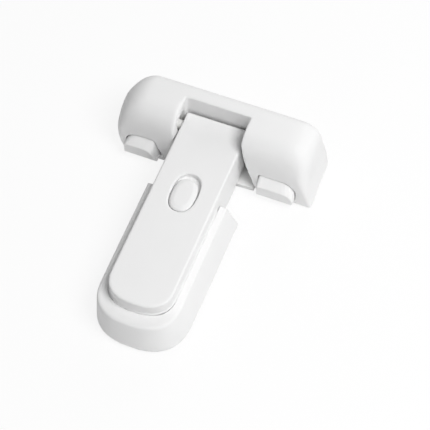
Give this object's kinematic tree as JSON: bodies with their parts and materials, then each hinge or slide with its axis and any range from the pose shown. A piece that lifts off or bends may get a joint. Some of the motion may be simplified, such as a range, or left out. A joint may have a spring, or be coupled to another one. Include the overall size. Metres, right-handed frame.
{
  "type": "refrigerator safety lock",
  "caption": "T-shaped white plastic refrigerator lock: crossbar head with finger buttons, hinged arm with oval thumb slider, stepped base; stuck across two doors",
  "frame": {"origin": "On the mounting surface, straight under the arm's pivot axis and on the head pad's face", "axes": "+X to the right seen from the base's end, +Y from base to head along the arm, +Z away from the doors"},
  "size_m": [0.0803, 0.1002, 0.0276],
  "materials": {
    "white_plastic": "satin moulded white",
    "inner_plastic": "matte moulded white",
    "bolt_plastic": "smooth natural white",
    "spring_steel": "bright drawn steel",
    "foam_tape": "matte closed-cell foam"
  },
  "bodies": {
    "housing": {"head_shell": "white_plastic", "head_back_plate": "inner_plastic", "head_adhesive_pad": "foam_tape", "head_screw_1": "spring_steel", "head_screw_2": "spring_steel", "head_screw_3": "spring_steel", "head_screw_4": "spring_steel", "left_bolt_spring": "spring_steel", "right_bolt_spring": "spring_steel", "base_shell": "white_plastic", "base_bottom_plate": "inner_plastic", "base_catch": "bolt_plastic", "base_adhesive_pad": "foam_tape", "base_screw_1": "spring_steel", "base_screw_2": "spring_steel", "base_screw_3": "spring_steel", "base_screw_4": "spring_steel"},
    "arm": {"arm_cover": "white_plastic", "arm_bottom_plate": "inner_plastic", "arm_screw_1": "spring_steel", "arm_screw_2": "spring_steel", "arm_screw_3": "spring_steel", "arm_screw_4": "spring_steel", "slider_detent_spring": "spring_steel"},
    "slider": {"slider_button": "white_plastic", "slider_carriage": "bolt_plastic"},
    "left_button": {"left_button": "white_plastic"},
    "right_button": {"right_button": "white_plastic"},
    "left_bolt": {"left_pivot_bolt": "bolt_plastic"},
    "right_bolt": {"right_pivot_bolt": "bolt_plastic"}
  },
  "joints": [
    {"name": "arm_swing", "type": "hinge", "parent": "housing", "child": "arm", "pos_m": [0, 0, 0.0162], "axis": [-1, 0, 0], "range_deg": [0, 95]},
    {"name": "slider_shift", "type": "slide", "parent": "arm", "child": "slider", "axis": [0, 1, 0], "range_m": [0, 0.002], "deforming": ["slider_detent_spring"]},
    {"name": "left_button_press", "type": "slide", "parent": "housing", "child": "left_button", "axis": [0, 1, 0], "range_m": [0, 0.0028], "stiffness_N_per_m": 300, "springref_m": -0.002},
    {"name": "right_button_press", "type": "slide", "parent": "housing", "child": "right_button", "axis": [0, 1, 0], "range_m": [0, 0.0028], "stiffness_N_per_m": 300, "springref_m": -0.002},
    {"name": "left_bolt_draw", "type": "slide", "parent": "housing", "child": "left_bolt", "axis": [-1, 0, 0], "range_m": [0, 0.0028], "deforming": ["left_bolt_spring"]},
    {"name": "right_bolt_draw", "type": "slide", "parent": "housing", "child": "right_bolt", "axis": [1, 0, 0], "range_m": [0, 0.0028], "deforming": ["right_bolt_spring"]}
  ],
  "couplings": [
    {"joint": "left_bolt_draw", "follows": "left_button_press", "ratio": 1},
    {"joint": "right_bolt_draw", "follows": "right_button_press", "ratio": 1}
  ]
}
